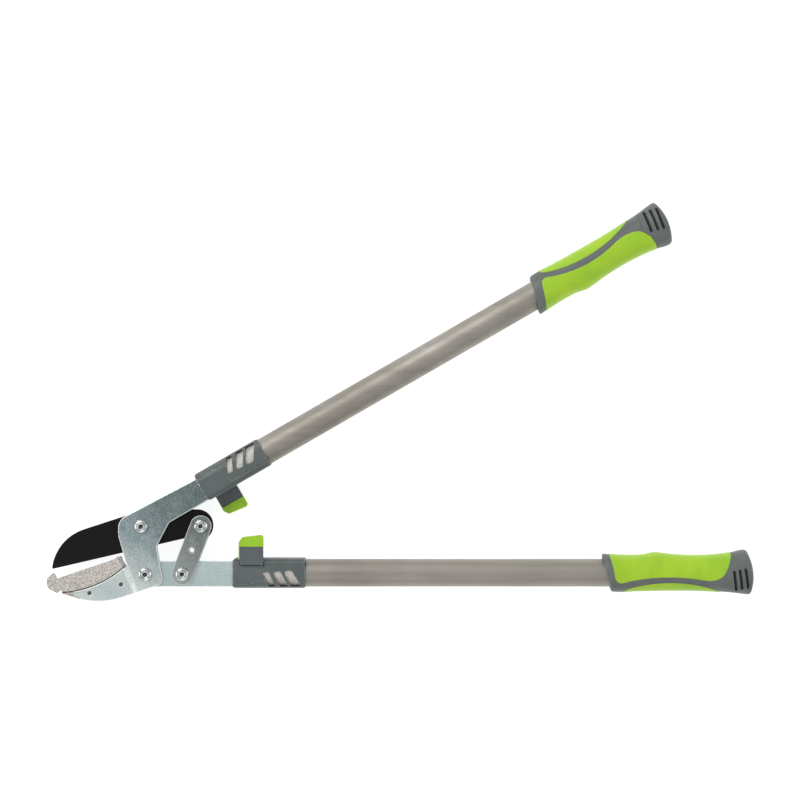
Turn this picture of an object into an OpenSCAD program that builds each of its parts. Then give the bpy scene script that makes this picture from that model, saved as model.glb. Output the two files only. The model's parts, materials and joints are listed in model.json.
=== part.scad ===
// Telescopic compound-action anvil loppers, lying on their side.
// The handles open in the XY plane, and Z is the thickness of the tool.
// Head outlines are laid out around the arm pivot. The finished tool is then moved so that
// its origin is below the middle of its box.

/* [Pivots] */
// Blade pivot, from the arm pivot along X
blade_pivot_x = -3.8; // [-4.4:0.1:-3.2]
// Blade pivot, from the arm pivot along Y
blade_pivot_y = 45.5; // [45:0.1:46]
// Upper link pivot, from the arm pivot along X
link_top_x = 52.7; // [52.2:0.1:53.2]
// Upper link pivot, from the arm pivot along Y
link_top_y = 45.9; // [45.4:0.1:46.4]
// Lower link pivot, from the arm pivot along X
link_low_x = 35.1; // [34.6:0.1:35.6]
// Lower link pivot, from the arm pivot along Y
link_low_y = 0.3; // [-0.2:0.1:0.8]
// Diameter of the pivot bolts' plain shank
shank_d = 8; // [7:0.1:8.4]

/* [Sheets] */
// Thickness of the side plates and the links
sheet_t = 3.2; // [2.6:0.1:3.6]
// Thickness of the blade and of the lower arm's bar
core_t = 5; // [4.4:0.1:5]
// Outward step of the side plates at the anvil
joggle = 3; // [2.5:0.1:3.2]

/* [Handles] */
// Angle between the handles as they lie
handle_angle = 30; // [29:0.5:31]
// Outer diameter of the outer tubes
outer_tube_d = 26.2; // [25.8:0.1:26.2]
// Outer diameter of the sliding inner tubes
inner_tube_d = 22.6; // [22.2:0.1:22.6]
// Length of the inner tubes
inner_tube_len = 340; // [320:5:350]
// Arm pivot to the lower collar, along the lower tube
lower_collar_at = 83.2; // [82.8:0.1:85]
// Arm pivot to the lower grip's mouth, along the lower tube
lower_grip_at = 437; // [430:1:445]
// Arm pivot to the upper collar, along the upper tube
upper_collar_at = 87.2; // [86.8:0.1:89]
// Arm pivot to the upper grip's mouth, along the upper tube
upper_grip_at = 457.5; // [450:0.5:460]

/* [Grips] */
// Length of a grip
grip_len = 140; // [138:1:142]
// Thickness of the soft green pads
pad_t = 1.8; // [1.4:0.1:2]

/* [Hidden] */

$fn = 64;

// Gaps: between flat layers that slide, in a running fit, and round an assembled piece.
layer_gap = 0.3;
run_fit = 0.05;
fit_gap = 0.1;

plate_in = 2.5 + layer_gap;
plate_out = plate_in + sheet_t;
blade_pivot = [blade_pivot_x, blade_pivot_y];
link_top = [link_top_x, link_top_y];
link_low = [link_low_x, link_low_y];

// The finished tool's box, measured from the arm pivot: half its thickness, and its middle.
half_thick = 19;
box_middle = [241.8, 163.75];

// The lower tube runs along +X, a little above the arm pivot. The upper tube is turned up by
// the handle angle, and passes the arm pivot at this distance.
lower_axis_y = 1.5;
upper_axis_off = 44.5;

// Inner tube and its fittings
tube_wall = 1.5;
inner_bore_r = inner_tube_d / 2 - tube_wall;
outer_bore_r = outer_tube_d / 2 - tube_wall;
tang_len = 60;
upper_tang_w = 14.6;
lower_tang_w = 17.6;
rivet_r = 2;
rivet_places = [18, 42];
plug_spigot_len = 14;
plug_flange_len = 7;

// Collar, in its own frame: X along the tube from the collar's mouth, Y towards the other handle
collar_len = 69;
collar_half = 14.2;
collar_corner = 6;
collar_outer_corner = 10;
collar_end_r = 2.4;
collar_mouth_r = 3.6;
panel_rise = 0.8;
groove_w = 0.9;
groove_depth = 0.9;
tube_seat_x = 30.5;
hinge_y = 11.5;
hinge_z = 10;
hinge_pin_r = 1.5;
knuckle_r = 3.3;
notch_x = [6.6, 29.8];
lever_face = 3.3;
lever_t = 4.8;
cap_y = 25.4;
cap_back_y = 26.5;
cap_skin = 1.4;
cap_proud = 0.4;
lip_x = 7;
// The lever's tongue, which goes into the cap
tongue_inset = 3;
flange_x = 6.6;
tongue_w = 17.2;
tongue_len = 7;
window_count = 3;

// Grip stations: distance from the mouth, then how far the grip reaches towards the other
// handle, away from it, and to each side.
grip_stations = [
    [-5.5, 18.6, 14.8, 15.6],
    [0, 18.2, 17.6, 16.6],
    [12, 17.0, 18.2, 17.0],
    [24, 16.6, 17.4, 16.8],
    [44, 18.9, 16.8, 16.6],
    [64, 17.6, 16.6, 16.4],
    [85, 15.8, 16.7, 16.3],
    [104, 17.0, 17.8, 16.8],
    [119, 19.6, 18.8, 17.8],
    [129, 21.0, 20.0, 18.9],
    [134, 21.2, 20.6, 18.6],
    [136.8, 18.4, 20.4, 17.4],
    [139, 12.5, 15.5, 12.5],
    [140, 6.0, 8.5, 6.0],
];
grip_sides = 24;
grip_bore_end = 128;

// ---------- outlines ----------

function unit(v) = v / norm(v);
function near_turn(a) = a > 180 ? a - 360 : a < -180 ? a + 360 : a;

// One corner [x, y, radius] between its neighbours, as a point or as points along its arc
function corner(before, at, after) =
    let(p = [at[0], at[1]], r = at[2])
    r == 0 ? [p] :
    let(
        to_a = unit([before[0], before[1]] - p),
        to_b = unit([after[0], after[1]] - p),
        half = acos(to_a * to_b) / 2,
        middle = p + unit(to_a + to_b) * r / sin(half),
        from = p + to_a * r / tan(half) - middle,
        to = p + to_b * r / tan(half) - middle,
        start = atan2(from[1], from[0]),
        sweep = near_turn(atan2(to[1], to[0]) - start),
        steps = max(2, ceil(abs(sweep) / 9))
    )
    [for (k = [0:steps]) let(a = start + sweep * k / steps) middle + r * [cos(a), sin(a)]];

// A closed outline whose corners [x, y, radius] are rounded
function rounded(pts) =
    let(n = len(pts))
    [for (i = [0:n - 1]) each corner(pts[(i + n - 1) % n], pts[i], pts[(i + 1) % n])];

// A place along and across the upper tube, as [x, y] from the arm pivot, with a corner radius
function on_upper(along, across, r) = [
    along * cos(handle_angle) + (across - upper_axis_off) * sin(handle_angle),
    along * sin(handle_angle) - (across - upper_axis_off) * cos(handle_angle),
    r,
];

// ---------- placing ----------

module tool() {
    translate([-box_middle[0], -box_middle[1], half_thick]) children();
}

// The lower handle's frame, and the upper one, which is the same handle turned over
module at_lower() {
    tool() translate([0, lower_axis_y, 0]) children();
}

module at_upper() {
    tool() rotate([0, 0, handle_angle]) translate([0, upper_axis_off, 0]) rotate([180, 0, 0]) children();
}

module along_x(x0, x1) {
    translate([x0, 0, 0]) rotate([90, 0, 90]) linear_extrude(x1 - x0) children();
}

module rod_x(x0, x1, r) {
    translate([x0, 0, 0]) rotate([0, 90, 0]) cylinder(r = r, h = x1 - x0);
}

// ---------- fasteners ----------

head_r = 6.65;
head_h = 3.4;
head_rim = 0.9;
head_flat_r = 4.1;
socket_r = 2;
socket_depth = 2.4;
thread_r = 3;
nut_h = 6;

// Domed bolt, standing on the front face, with its thread at the back
module pivot_bolt() {
    color("silver") difference() {
        union() {
            translate([0, 0, plate_out]) rotate_extrude() polygon([
                [0, 0], [head_r, 0], [head_r, head_rim],
                for (a = [10:16:74]) [
                    head_flat_r + (head_r - head_flat_r) * cos(a),
                    head_rim + (head_h - head_rim) * sin(a),
                ],
                [head_flat_r, head_h], [0, head_h],
            ]);
            translate([0, 0, -plate_out]) cylinder(d = shank_d, h = 2 * plate_out);
            translate([0, 0, -plate_out - nut_h - 1.2]) cylinder(r = thread_r, h = nut_h + 2);
        }
        translate([0, 0, plate_out + head_h - socket_depth])
            cylinder(r = socket_r, h = socket_depth + 1, $fn = 6);
    }
}

// Flanged hexagon nut on the bolt's thread
module lock_nut() {
    color("silver") translate([0, 0, -plate_out - nut_h]) difference() {
        union() {
            cylinder(d = 11.5, h = nut_h - 1, $fn = 6);
            translate([0, 0, nut_h - 1.2]) cylinder(r = head_r, h = 1.2);
        }
        translate([0, 0, -1]) cylinder(r = thread_r + run_fit, h = nut_h + 2);
    }
}

// ---------- head ----------

arm_end = upper_collar_at - 0.6;
arm_outer = -9.9;
arm_inner = 13.2;
anvil_edge_a = [-17.6, 8.8];
anvil_edge_b = [-70.6, -16.6];
anvil_edge_sag = 4.6;
bend_place = [-14.6, -6];
bend_turn = 22;
bend_half = 2;
// The bend's outer face lies this much further from the anvil than its inner face.
bend_shift = 1.2;
// Longer than anything in the head
head_reach = 200;

// The hollow in the cheek's upper edge: what a large circle cuts below the edge's chord
module anvil_edge_hollow() {
    chord = anvil_edge_a - anvil_edge_b;
    span = norm(chord);
    edge_r = (span * span / 4 + anvil_edge_sag * anvil_edge_sag) / (2 * anvil_edge_sag);
    translate(anvil_edge_b) rotate(atan2(chord[1], chord[0])) intersection() {
        translate([span / 2, edge_r - anvil_edge_sag]) circle(r = edge_r, $fn = 180);
        translate([0, -anvil_edge_sag - 1]) square([span, anvil_edge_sag + 1.2]);
    }
}

// Outline of a side plate: a limb down to the arm pivot, the anvil's cheek, and the handle arm
module plate_outline() {
    difference() {
        polygon(rounded([
            on_upper(arm_end, arm_outer, 0),
            [-26, 51.6, 13], [-25.4, 36, 20],
            [anvil_edge_a[0], anvil_edge_a[1], 0],
            [anvil_edge_b[0], anvil_edge_b[1], 0.8],
            [-58.5, -23.8, 8], [-38.7, -27, 71],
            [17.5, -8.2, 6.5], [10.7, 26.3, 4], [22.9, 49.3, 5],
            on_upper(arm_end, arm_inner, 0),
        ]));
        anvil_edge_hollow();
    }
    rotate(handle_angle) translate([arm_end - 1, upper_axis_off - upper_tang_w / 2])
        square([tang_len + 1, upper_tang_w]);
}

// A section drawn across the bend, with its X away from the anvil, extruded along the bend
module along_bend() {
    translate([bend_place[0], bend_place[1], 0]) rotate([0, 0, bend_turn]) rotate([90, 0, 0])
        linear_extrude(2 * head_reach, center = true) children();
}

// The sheet seen from its edge: flat at the pivots, stepped outwards over the anvil
module stepped_sheet() {
    along_bend() polygon([
        [-head_reach, plate_in + joggle], [-bend_half, plate_in + joggle], [bend_half, plate_in],
        [head_reach, plate_in], [head_reach, plate_out], [bend_half + bend_shift, plate_out],
        [-bend_half + bend_shift, plate_out + joggle], [-head_reach, plate_out + joggle],
    ]);
}

anvil_rivet_places = [[-22.6, -9.2], [-52.5, -17.4]];
anvil_rivet_r = 1.9;

module side_plate() {
    color("lightsteelblue") difference() {
        intersection() {
            linear_extrude(30) plate_outline();
            stepped_sheet();
        }
        for (p = [[0, 0], blade_pivot])
            translate([p[0], p[1], -1]) cylinder(r = shank_d / 2 + run_fit, h = 30);
        for (p = anvil_rivet_places)
            translate([p[0], p[1], -1]) cylinder(r = anvil_rivet_r + run_fit, h = 30);
        at_rivets(upper_collar_at) cylinder(r = rivet_r + run_fit, h = 60, center = true);
    }
}

// The places of the two rivets across a tang, in the upper arm
module at_rivets(start) {
    rotate([0, 0, handle_angle]) for (x = rivet_places)
        translate([start + x, upper_axis_off, 0]) children();
}

module front_plate() tool() side_plate();
module rear_plate() tool() mirror([0, 0, 1]) side_plate();

// Cast anvil: a sloping cutting face with a hooked tip, held between the cheeks
anvil_half = plate_in + joggle - fit_gap / 2;
anvil_slope = 18.5;
module anvil() {
    tool() color("gainsboro") difference() {
        translate([0, 0, -anvil_half]) linear_extrude(2 * anvil_half) polygon(rounded([
            [-87.3, 2, 1.4], [-84.3, -4.6, 0.8], [-82.4, -3.5, 0], [-29.2, 14.3, 0], [-26.6, 16.9, 0.5],
            [-23.2, 17.2, 0.8], [-21.2, 11.8, 1], [-18.4, 8.4, 0.8], [-18.6, 3, 3], [-13.4, -17.2, 2],
            [-26, -20.9, 20], [-44, -25.4, 30], [-62, -23, 20], [-78.6, -18.3, 0.6], [-78.9, -15.6, 0.4],
            [-82.3, -15.2, 0.4], [-82.9, -17.7, 1.2], [-92.6, -13.2, 6], [-93.6, -4.2, 6],
        ]));
        // Thinner past the bends, where the sheets close in on it
        for (face = [0, 1]) mirror([0, 0, face]) along_bend() polygon([
            [-bend_half, plate_in + joggle], [-bend_half, plate_out + joggle],
            [head_reach, plate_out + joggle], [head_reach, plate_in - fit_gap / 2],
            [bend_half - fit_gap, plate_in - fit_gap / 2],
            [-bend_half - fit_gap, plate_in + joggle - fit_gap / 2],
        ]);
        for (p = anvil_rivet_places)
            translate([p[0], p[1], 0]) cylinder(r = anvil_rivet_r + run_fit, h = 30, center = true);
        // Relief in the heel lugs, and the slot between them that the blade comes down into
        translate([-24.6, 15.8, 0]) rotate(anvil_slope) cube([1.3, 4, 30], center = true);
        translate([-82.4, -3.5, 0]) rotate(anvil_slope)
            translate([54, 0.4, -core_t / 2 - 0.5]) cube([14, 8, core_t + 1]);
    }
}

module anvil_rivets() {
    tool() color("silver") for (p = anvil_rivet_places)
        translate([p[0], p[1], 0])
            cylinder(r = anvil_rivet_r, h = 2 * (plate_out + joggle) - 0.6, center = true);
}

module blade_pivot_bolt() tool() translate(blade_pivot) pivot_bolt();
module arm_pivot_bolt() tool() pivot_bolt();
module head_lock_nuts() tool() for (p = [[0, 0], blade_pivot]) translate(p) lock_nut();

// ---------- blade ----------

tail_r = 15;
// The blade's upper link pivot is left open, so its hole is larger than the bolt.
open_pivot_r = shank_d / 2 + 1.15;
edge_slope = 13.2;
grind_w = 5;
grind_len = 69;
edge_flat = 0.35;

module blade() {
    tool() color([0.12, 0.12, 0.12]) difference() {
        translate([0, 0, -core_t / 2]) linear_extrude(core_t) polygon(rounded([
            [-88.9, 4.9, 1.2], [-84.8, 34.2, 44], [-2, 61.2, 26], [64.3, 61.8, tail_r],
            [64.3, 31.4, tail_r], [46.4, 31.4, 2], [41.5, 35.2, 4],
        ]));
        translate([blade_pivot_x, blade_pivot_y, 0])
            cylinder(r = shank_d / 2 + run_fit, h = 20, center = true);
        translate([link_top_x, link_top_y, 0]) cylinder(r = open_pivot_r, h = 20, center = true);
        // The cutting edge is ground from both faces.
        for (side = [0, 1]) mirror([0, 0, side])
            translate([-88.9, 4.9, 0]) rotate([0, 0, edge_slope]) rotate([0, 90, 0])
                linear_extrude(grind_len) polygon([
                    [-core_t / 2 - 1, -1], [-edge_flat, -1],
                    [-core_t / 2, grind_w], [-core_t / 2 - 1, grind_w],
                ]);
    }
}

// ---------- lower arm ----------

bar_end = lower_collar_at - 0.6;
bar_w = 24.2;
bar_mid_y = 0.5;

module lower_bar() {
    tool() color("lightsteelblue") difference() {
        translate([0, 0, -core_t / 2]) linear_extrude(core_t) {
            circle(r = bar_w / 2);
            translate([0, bar_mid_y - bar_w / 2]) square([bar_end, bar_w]);
            translate([bar_end - 1, lower_axis_y - lower_tang_w / 2]) square([tang_len + 1, lower_tang_w]);
        }
        cylinder(r = shank_d / 2 + run_fit, h = 20, center = true);
        translate([link_low_x, link_low_y, 0]) cylinder(r = shank_d / 2 + run_fit, h = 20, center = true);
        for (x = rivet_places) translate([lower_collar_at + x, lower_axis_y, 0])
            cylinder(r = rivet_r + run_fit, h = 20, center = true);
    }
}

// ---------- links ----------

link_r = 10.2;
link_hole_r = 2.4;

module link_sheet() {
    run = link_top - link_low;
    color("gray") translate([0, 0, plate_in]) difference() {
        linear_extrude(sheet_t) {
            translate(link_low) circle(r = link_r);
            translate(link_top) circle(r = link_r);
            translate(link_low) rotate(atan2(run[1], run[0])) translate([0, -link_r])
                square([norm(run), 2 * link_r]);
        }
        for (p = [link_low, link_top])
            translate([p[0], p[1], -1]) cylinder(r = shank_d / 2 + run_fit, h = 10);
        translate([(link_low + link_top)[0] / 2, (link_low + link_top)[1] / 2, -1])
            cylinder(r = link_hole_r, h = 10);
    }
}

module front_link() tool() link_sheet();
module rear_link() tool() mirror([0, 0, 1]) link_sheet();
module link_top_bolt() tool() translate(link_top) pivot_bolt();
module link_low_bolt() tool() translate(link_low) pivot_bolt();
module link_lock_nuts() tool() for (p = [link_low, link_top]) translate(p) lock_nut();

// ---------- sliding tubes ----------

// Every piece of a handle is drawn in the handle's own frame, with the collar's mouth at start.
module inner_tube(start) {
    color("silver") difference() {
        rod_x(start - 0.5, start - 0.5 + inner_tube_len, inner_tube_d / 2);
        rod_x(start - 1, start + inner_tube_len, inner_bore_r);
        for (x = rivet_places) translate([start + x, 0, 0])
            cylinder(r = rivet_r + run_fit, h = 40, center = true);
    }
}

// Rivets across the tube and the tang, flush with the tube
module tube_rivets(start) {
    color("silver") for (x = rivet_places) translate([start + x, 0, 0])
        cylinder(r = rivet_r, h = inner_tube_d - 0.9, center = true);
}

// Fillers between the tang and the tube's bore, one on each face of the tang
module tang_packers(start, tang_half) {
    color("dimgray") difference() {
        rod_x(start, start + tang_len - 2, inner_bore_r - run_fit);
        cube([1000, 40, 2 * (tang_half + fit_gap)], center = true);
        for (x = rivet_places) translate([start + x, 0, 0])
            cylinder(r = rivet_r + run_fit, h = 40, center = true);
    }
}

// Block between the two side plates where they enter the upper inner tube
module tang_spacer(start) {
    color("dimgray") difference() {
        translate([start, -upper_tang_w / 2, -plate_in + fit_gap])
            cube([tang_len - 2, upper_tang_w, 2 * (plate_in - fit_gap)]);
        for (x = rivet_places) translate([start + x, 0, 0])
            cylinder(r = rivet_r + run_fit, h = 40, center = true);
    }
}

// Plug in the far end of the inner tube, which guides it in the outer one
module guide_plug(start) {
    far = start - 0.5 + inner_tube_len;
    color("dimgray") difference() {
        union() {
            rod_x(far - plug_spigot_len, far + 1, inner_bore_r - run_fit);
            rod_x(far, far + plug_flange_len, outer_bore_r - run_fit);
        }
        rod_x(far - plug_spigot_len - 1, far + plug_flange_len + 1, 6);
    }
}

module outer_tube(start, grip_at) {
    color("darkgray") difference() {
        rod_x(start + tube_seat_x, grip_at + grip_bore_end - 1, outer_tube_d / 2);
        rod_x(start, grip_at + grip_len, outer_bore_r);
    }
}

// ---------- collar and lock lever ----------

// The collar's section, rounder on the side away from the other handle
module collar_section(half_y, half_z) {
    r = collar_corner;
    outer_r = collar_outer_corner;
    translate([outer_r - half_y, -half_z]) square([2 * half_y - outer_r - r, 2 * half_z]);
    translate([0, r - half_z]) square([half_y, 2 * (half_z - r)]);
    translate([-half_y, outer_r - half_z]) square([half_y, 2 * (half_z - outer_r)]);
    for (z = [-1, 1]) {
        translate([half_y - r, z * (half_z - r)]) circle(r = r);
        translate([outer_r - half_y, z * (half_z - outer_r)]) circle(r = outer_r);
    }
}

// The collar's outline from one side, with its end corners rounded
module end_rounded(half, mouth_r) {
    r = collar_end_r;
    polygon(rounded([
        [0, -half, r], [collar_len, -half, r], [collar_len, half, r], [0, half, mouth_r],
    ]));
}

// Raised panel on the collar's faces: round the lever's hinge, then along the inner edge
module panel_outline(grow) {
    low = -collar_half + 4 - grow;
    side = 27.2 + grow;
    edge = 8.6 - grow;
    polygon(rounded([
        [0.4 - grow, low, 2.5 + grow], [side, low, 13 + grow], [side, edge, 4.5 - grow],
        [collar_len - 1.2 + grow, edge, 0], [collar_len - 1.2 + grow, 20, 0], [0.4 - grow, 20, 0],
    ]));
}

// Groove round the raised panel, above a height
module panel_groove() {
    difference() {
        translate([0, 0, collar_half - groove_depth]) linear_extrude(10) panel_outline(groove_w);
        translate([0, 0, -1]) linear_extrude(30) panel_outline(0);
    }
}

// Slanted window over the tube, wider for each one further from the mouth
module window_outline(i) {
    x = 28.6 + 10.2 * i;
    w = 6 + 0.5 * i;
    top = 1.2 + 0.8 * i;
    slant = 5.8 + 1.7 * i;
    polygon(rounded([
        [x, top - 2, 1], [x + 1.6, top, 1], [x + w - 0.3, top, 0.8],
        [x + w + slant, -12.4, 0.5], [x + 6.2, -12.8, 0.6],
    ]));
}

module collar(start) {
    color([0.37, 0.4, 0.41]) translate([start, 0, 0]) difference() {
        intersection() {
            union() {
                along_x(0, collar_len) collar_section(collar_half, collar_half);
                intersection() {
                    linear_extrude(2 * (collar_half + panel_rise), center = true) panel_outline(0);
                    along_x(0, collar_len) collar_section(collar_half, collar_half + panel_rise);
                }
            }
            linear_extrude(60, center = true) end_rounded(collar_half, collar_mouth_r);
            rotate([90, 0, 0]) linear_extrude(60, center = true)
                end_rounded(collar_half + panel_rise, collar_end_r);
        }
        for (face = [0, 1]) mirror([0, 0, face]) panel_groove();
        rod_x(-1, tube_seat_x + 1, inner_tube_d / 2 + fit_gap);
        rod_x(tube_seat_x, collar_len + 1, outer_tube_d / 2 + run_fit);
        for (i = [0:window_count - 1]) linear_extrude(60, center = true) window_outline(i);
        // Notch for the lever's knuckle, and the hinge pin's hole, blind at its far end
        translate([notch_x[0], 7.6, 5.8]) cube([notch_x[1] - notch_x[0], 20, 20]);
        translate([0, hinge_y, hinge_z]) rod_x(-1, 37, hinge_pin_r + run_fit);
    }
}

module lever_pin(start) {
    color("silver") translate([start, hinge_y, hinge_z]) rod_x(0.5, 36.5, hinge_pin_r);
}

// Lock lever, standing open. Its knuckle is a cam that meets the inner tube when it is folded.
module lock_lever(start) {
    cam_throw = 0.45;
    cam_angle = 311;
    side = 0.5;
    color([0.33, 0.35, 0.38]) translate([start, hinge_y, hinge_z]) difference() {
        union() {
            along_x(notch_x[0] + side, notch_x[1] - side) {
                circle(r = knuckle_r);
                translate(cam_throw * [cos(cam_angle), sin(cam_angle)]) circle(r = knuckle_r);
                translate([-knuckle_r, 0]) square([2 * knuckle_r, lever_face + 1]);
                translate([-knuckle_r, lever_face])
                    square([cap_y - hinge_y + knuckle_r - fit_gap, lever_t]);
                translate([-knuckle_r, lever_face])
                    square([cap_back_y - hinge_y + knuckle_r - fit_gap, cap_skin]);
            }
            // Flange behind the cap's lip
            translate([flange_x, collar_half + 0.6 - hinge_y, lever_face])
                cube([4, cap_back_y - collar_half - 0.6 - fit_gap, cap_skin]);
            translate([notch_x[0] + tongue_inset, 0, lever_face + cap_skin])
                cube([tongue_w, cap_y - hinge_y + tongue_len, lever_t - 2 * cap_skin]);
        }
        rod_x(0, 40, hinge_pin_r + run_fit);
    }
}

// Green cap over the lever's tip, with a lip down its head side
module lever_cap(start) {
    color("yellowgreen") translate([start, 0, hinge_z + lever_face]) difference() {
        union() {
            translate([0, 0, cap_skin]) linear_extrude(lever_t - cap_skin + cap_proud) polygon(rounded([
                [6, 13.2, 0], [lip_x, 13.2, 0], [lip_x, cap_y, 0], [29.5, cap_y, 0],
                [29.5, 37, 2.8], [9.2, 34.5, 2.4], [6, 29.6, 1.8],
            ]));
            translate([0, 0, -cap_proud]) linear_extrude(cap_proud + cap_skin) polygon(rounded([
                [6, cap_back_y, 0], [29.5, cap_back_y, 0],
                [29.5, 37, 2.8], [9.2, 34.5, 2.4], [6, 29.6, 1.8],
            ]));
        }
        translate([notch_x[0] + tongue_inset - fit_gap, cap_y - 5, cap_skin])
            cube([tongue_w + 2 * fit_gap, 5 + tongue_len + fit_gap, lever_t - 2 * cap_skin + fit_gap]);
    }
}

// ---------- grips ----------

// Signed power, for a cross-section between an ellipse and a rounded square
function swell(x, p) = sign(x) * pow(abs(x), p);

function grip_ring(s, inset) = [
    for (k = [0:grip_sides - 1])
        let(a = 360 * k / grip_sides, c = swell(cos(a), 0.9), d = swell(sin(a), 0.9))
        [s[0], c * ((c > 0 ? s[1] : s[2]) - inset), d * (s[3] - inset)]
];

module loft(rings) {
    n = len(rings[0]);
    last = len(rings) - 1;
    polyhedron(
        points = [for (ring = rings) each ring],
        faces = [
            [for (k = [0:n - 1]) k],
            for (j = [0:last - 1], k = [0:n - 1]) let(a = j * n + k, b = j * n + (k + 1) % n) each
                [[a, a + n, b], [b, a + n, b + n]],
            [for (k = [n - 1:-1:0]) last * n + k],
        ]
    );
}

// The big pad's outline, towards the other handle, and the small one's, away from it
module inner_pad_outline() {
    polygon(rounded([
        [-3.2, 30, 0], [-0.8, 17, 0], [8, -13.2, 6], [60, -4, 70], [110, -12.4, 13],
        [118, 12, 22], [112, 30, 0],
    ]));
}

module outer_pad_outline() {
    polygon(rounded([
        [0, -22, 0], [24, -12.2, 14], [58, -9, 50], [92, -13, 14], [114, -22, 0],
        [114, -30, 0], [0, -30, 0],
    ]));
}

module grip_pad() {
    difference() {
        intersection() {
            loft([for (s = grip_stations) grip_ring(s, 0)]);
            linear_extrude(80, center = true) children();
        }
        loft([for (s = grip_stations) grip_ring(s, pad_t)]);
    }
}

module grip(grip_at) {
    color([0.37, 0.4, 0.41]) translate([grip_at, 0, 0]) difference() {
        loft([for (s = grip_stations) grip_ring(s, 0)]);
        grip_pad() {
            inner_pad_outline();
        }
        grip_pad() {
            outer_pad_outline();
        }
        rod_x(-20, grip_bore_end, outer_tube_d / 2 + run_fit);
    }
}

module grip_inner_pad(grip_at) {
    color("yellowgreen") translate([grip_at, 0, 0]) grip_pad() inner_pad_outline();
}

module grip_outer_pad(grip_at) {
    color("yellowgreen") translate([grip_at, 0, 0]) grip_pad() outer_pad_outline();
}

// ---------- nodes ----------

front_plate();
rear_plate();
anvil();
anvil_rivets();
blade_pivot_bolt();
arm_pivot_bolt();
head_lock_nuts();
at_upper() tang_spacer(upper_collar_at);  // upper_tang_spacer
at_upper() tang_packers(upper_collar_at, plate_out);  // upper_tang_packers
at_upper() inner_tube(upper_collar_at);  // upper_inner_tube
at_upper() tube_rivets(upper_collar_at);  // upper_tube_rivets
at_upper() guide_plug(upper_collar_at);  // upper_guide_plug
blade();
lower_bar();
at_lower() tang_packers(lower_collar_at, core_t / 2);  // lower_tang_packers
at_lower() inner_tube(lower_collar_at);  // lower_inner_tube
at_lower() tube_rivets(lower_collar_at);  // lower_tube_rivets
at_lower() guide_plug(lower_collar_at);  // lower_guide_plug
front_link();
rear_link();
link_top_bolt();
link_low_bolt();
link_lock_nuts();
at_upper() outer_tube(upper_collar_at, upper_grip_at);  // upper_outer_tube
at_upper() collar(upper_collar_at);  // upper_collar
at_upper() lever_pin(upper_collar_at);  // upper_lever_pin
at_upper() grip(upper_grip_at);  // upper_grip
at_upper() grip_inner_pad(upper_grip_at);  // upper_grip_inner_pad
at_upper() grip_outer_pad(upper_grip_at);  // upper_grip_outer_pad
at_upper() lock_lever(upper_collar_at);  // upper_lock_lever
at_upper() lever_cap(upper_collar_at);  // upper_lever_cap
at_lower() outer_tube(lower_collar_at, lower_grip_at);  // lower_outer_tube
at_lower() collar(lower_collar_at);  // lower_collar
at_lower() lever_pin(lower_collar_at);  // lower_lever_pin
at_lower() grip(lower_grip_at);  // lower_grip
at_lower() grip_inner_pad(lower_grip_at);  // lower_grip_inner_pad
at_lower() grip_outer_pad(lower_grip_at);  // lower_grip_outer_pad
at_lower() lock_lever(lower_collar_at);  // lower_lock_lever
at_lower() lever_cap(lower_collar_at);  // lower_lever_cap
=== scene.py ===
"""Looks for the telescopic anvil loppers: finished meshes and procedural materials round the CAD frame."""

import json
import math

import bmesh
import bpy
from mathutils import Matrix, Vector

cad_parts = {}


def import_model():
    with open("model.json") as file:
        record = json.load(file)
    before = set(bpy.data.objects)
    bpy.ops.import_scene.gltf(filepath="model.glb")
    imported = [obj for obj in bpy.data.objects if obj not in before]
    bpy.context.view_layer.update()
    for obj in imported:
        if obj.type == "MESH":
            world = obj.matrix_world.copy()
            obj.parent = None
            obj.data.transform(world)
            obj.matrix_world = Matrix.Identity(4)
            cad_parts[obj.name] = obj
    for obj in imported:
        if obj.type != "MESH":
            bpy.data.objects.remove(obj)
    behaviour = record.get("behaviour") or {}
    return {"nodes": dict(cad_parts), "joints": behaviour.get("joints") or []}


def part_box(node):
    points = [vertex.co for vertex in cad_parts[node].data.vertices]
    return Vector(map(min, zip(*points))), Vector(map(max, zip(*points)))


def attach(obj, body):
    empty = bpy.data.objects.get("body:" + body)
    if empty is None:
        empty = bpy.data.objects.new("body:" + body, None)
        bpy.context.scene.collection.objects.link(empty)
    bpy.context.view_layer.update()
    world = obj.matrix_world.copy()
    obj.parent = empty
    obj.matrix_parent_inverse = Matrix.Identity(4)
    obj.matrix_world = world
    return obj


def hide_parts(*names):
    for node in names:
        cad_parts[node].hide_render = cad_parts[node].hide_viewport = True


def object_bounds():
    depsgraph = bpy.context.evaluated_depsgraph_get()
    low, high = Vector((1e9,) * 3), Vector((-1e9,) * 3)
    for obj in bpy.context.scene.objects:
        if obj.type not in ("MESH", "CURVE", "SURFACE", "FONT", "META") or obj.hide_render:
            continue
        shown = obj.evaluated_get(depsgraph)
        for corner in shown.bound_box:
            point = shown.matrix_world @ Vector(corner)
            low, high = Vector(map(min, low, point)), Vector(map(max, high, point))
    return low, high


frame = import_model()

CAD_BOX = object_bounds()
MM = 0.001
JOINTS = {j["name"]: j for j in frame["joints"]}
SIDES = ("lower", "upper")


# ---------------------------------------------------------------- places, from the frame

def node_span(node, direction):
    """Lowest and highest reach of a CAD node along a direction."""
    reach = [v.co.dot(direction) for v in frame["nodes"][node].data.vertices]
    return min(reach), max(reach)


def handle_matrix(side):
    """A handle's own frame: X along the tube from the collar's mouth, Y towards the other handle."""
    x = Vector(JOINTS[side + "_slide"]["axis"]).normalized()
    z = Vector((0, 0, 1 if side == "lower" else -1))
    y = z.cross(x)
    origin = x * node_span(side + "_collar", x)[0]
    for axis in (y, z):
        origin += axis * (sum(node_span(side + "_inner_tube", axis)) / 2)
    m = Matrix((x, y, z)).transposed().to_4x4()
    m.translation = origin
    return m


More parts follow.
